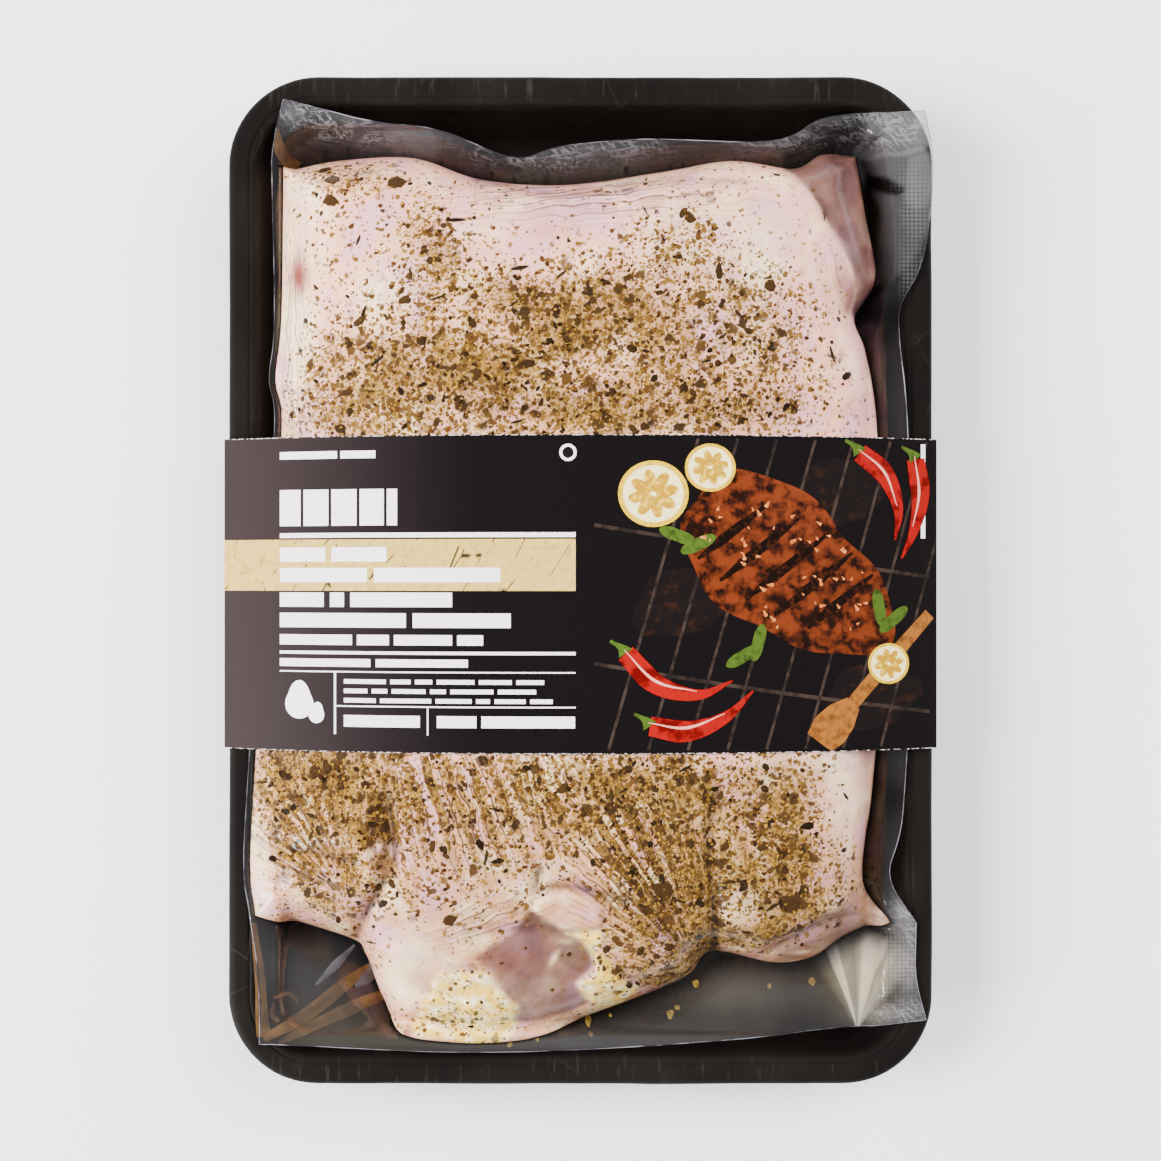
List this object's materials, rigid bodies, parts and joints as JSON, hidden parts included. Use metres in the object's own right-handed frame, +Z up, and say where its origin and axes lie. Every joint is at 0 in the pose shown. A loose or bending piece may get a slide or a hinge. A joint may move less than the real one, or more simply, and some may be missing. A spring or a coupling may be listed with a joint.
{
  "type": "packed flattened chicken",
  "caption": "Shallow foam tray with a flattened, seasoned raw chicken sealed in a clear vacuum pouch and held by a printed card sleeve.",
  "frame": {"origin": "centre of the pack's footprint on the surface it stands on", "axes": "+Z up, +Y along the tray's length towards the end with the wavy edge of film, +X across the tray to the right of the print"},
  "size_m": [0.2126, 0.302, 0.0534],
  "materials": {
    "tray": "black expanded foam with a fine skin",
    "pouch": "clear film drawn tight over pale seasoned skin",
    "sleeve": "printed card, near black, soft sheen"
  },
  "bodies": {
    "root": {"tray": "tray", "pouch": "pouch", "sleeve": "sleeve"}
  },
  "joints": []
}
